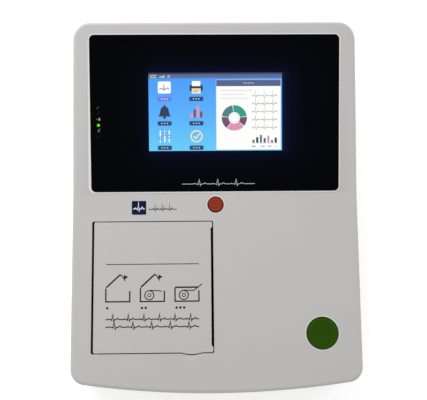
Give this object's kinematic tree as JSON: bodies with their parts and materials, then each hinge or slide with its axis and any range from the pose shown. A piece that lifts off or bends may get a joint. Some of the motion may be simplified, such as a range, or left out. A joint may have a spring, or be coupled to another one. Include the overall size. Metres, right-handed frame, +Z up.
{
  "type": "ecg machine",
  "caption": "Desktop electrocardiograph with a sloped touch screen, a hinged strip-printer door, two round push buttons and a rear connector panel.",
  "frame": {"origin": "centre of the footprint, on the surface that the feet stand on", "axes": "+X right, +Y towards the raised rear, +Z up"},
  "size_m": [0.235, 0.3, 0.079],
  "materials": {
    "housing_light": "fine-textured light grey moulding",
    "housing_lower": "fine-textured light grey moulding",
    "screen_black": "glossy dark screen panel",
    "screen_lit": "backlit picture area",
    "zinc": "zinc plated",
    "nickel": "bright nickel",
    "steel": "ground steel",
    "brass": "turned brass",
    "aluminium": "black anodised",
    "frame_plastic": "glass-filled black",
    "black_plastic": "black moulding",
    "white_plastic": "natural acetal",
    "bay_plastic": "black moulding",
    "rubber": "ground rubber",
    "foot_rubber": "soft grey rubber",
    "pcb": "green solder mask",
    "lamp": "clear green",
    "red_button": "satin red",
    "green_button": "satin dark green",
    "paper": "thermal paper with a pink grid",
    "card": "rolled card",
    "ceramic": "glazed ceramic",
    "cell_wrap": "shrink sleeve",
    "copper_flex": "amber film",
    "wire_brown": "wire sleeve",
    "wire_red": "wire sleeve",
    "part_yellow": "tape wrap"
  },
  "bodies": {
    "root": {"top_case": "housing_light", "bottom_case": "housing_lower", "case_screws": "zinc", "feet": "foot_rubber", "display_window": "screen_black", "lcd_frame": "zinc", "lcd_glass": "screen_lit", "indicator_board": "pcb", "indicator_lights": "lamp", "rear_panel": "housing_lower", "mains_inlet": "black_plastic", "inlet_pins": "nickel", "mains_switch": "black_plastic", "earth_terminal": "nickel", "lan_socket": "nickel", "usb_socket": "nickel", "serial_socket": "nickel", "patient_socket": "nickel", "jack_screws": "zinc", "paper_bay": "bay_plastic", "door_pin": "steel", "printer_frame": "frame_plastic", "head_pin": "steel", "head_springs": "steel", "motor_can": "zinc", "idler_axle": "steel", "paper_web": "paper", "paper_sensor": "black_plastic", "main_board": "pcb", "board_chips": "black_plastic", "board_screws": "zinc", "power_board": "pcb", "power_parts": "part_yellow", "battery_pack": "cell_wrap", "battery_cover": "housing_lower", "speaker": "black_plastic", "power_spring": "steel", "print_spring": "steel", "button_boards": "pcb", "button_switches": "black_plastic", "screen_cable": "copper_flex", "mains_wires": "wire_brown", "battery_wires": "wire_red"},
    "door": {"printer_door": "housing_light", "platen_bushes": "white_plastic"},
    "platen": {"platen_roller": "rubber", "platen_shaft": "steel", "platen_gear": "white_plastic"},
    "motor": {"motor_pinion": "brass"},
    "idler": {"idler_gear": "white_plastic"},
    "roll": {"paper_roll": "paper", "paper_core": "card", "paper_spindle": "black_plastic"},
    "head": {"print_head": "ceramic", "head_heatsink": "aluminium"},
    "power_key": {"power_button": "red_button"},
    "print_key": {"print_button": "green_button"},
    "drawer": {"fuse_drawer": "black_plastic", "fuses": "nickel"},
    "rocker": {"mains_rocker": "black_plastic"}
  },
  "joints": [
    {"name": "door_hinge", "type": "hinge", "parent": "root", "child": "door", "pos_m": [-0.0949, -0.06435, 0.049], "axis": [0, -1, 0], "range_deg": [0, 100]},
    {"name": "roll_spin", "type": "hinge", "parent": "root", "child": "roll", "pos_m": [-0.072, -0.06435, 0.0285], "axis": [0, -1, 0], "continuous": true},
    {"name": "platen_spin", "type": "hinge", "parent": "door", "child": "platen", "pos_m": [-0.0125, -0.06435, 0.042], "axis": [0, -1, 0], "continuous": true},
    {"name": "idler_spin", "type": "hinge", "parent": "root", "child": "idler", "pos_m": [-0.0125, -0.06435, 0.026], "axis": [0, -1, 0], "continuous": true},
    {"name": "motor_spin", "type": "hinge", "parent": "root", "child": "motor", "pos_m": [-0.027, -0.06435, 0.02143], "axis": [0, -1, 0], "continuous": true},
    {"name": "head_tilt", "type": "hinge", "parent": "root", "child": "head", "pos_m": [-0.0093, -0.06435, 0.0245], "axis": [0, -1, 0], "range_deg": [-2.5, 0], "stiffness_Nm_per_rad": 1, "springref_deg": 1.15, "deforming": ["head_springs"]},
    {"name": "power_press", "type": "slide", "parent": "root", "child": "power_key", "axis": [0, 0, -1], "range_m": [0, 0.001], "stiffness_N_per_m": 600, "deforming": ["power_spring"]},
    {"name": "print_press", "type": "slide", "parent": "root", "child": "print_key", "axis": [0, 0, -1], "range_m": [0, 0.001], "stiffness_N_per_m": 800, "deforming": ["print_spring"]},
    {"name": "drawer_slide", "type": "slide", "parent": "root", "child": "drawer", "axis": [0, 1, 0], "range_m": [0, 0.022]},
    {"name": "switch_rock", "type": "hinge", "parent": "root", "child": "rocker", "pos_m": [-0.031, 0.1345, 0.041], "axis": [0, 0, 1], "range_deg": [-14, 0]}
  ],
  "couplings": [
    {"joint": "platen_spin", "follows": "roll_spin", "ratio": 3.1667},
    {"joint": "idler_spin", "follows": "roll_spin", "ratio": -2.1111},
    {"joint": "motor_spin", "follows": "roll_spin", "ratio": 3.619}
  ]
}
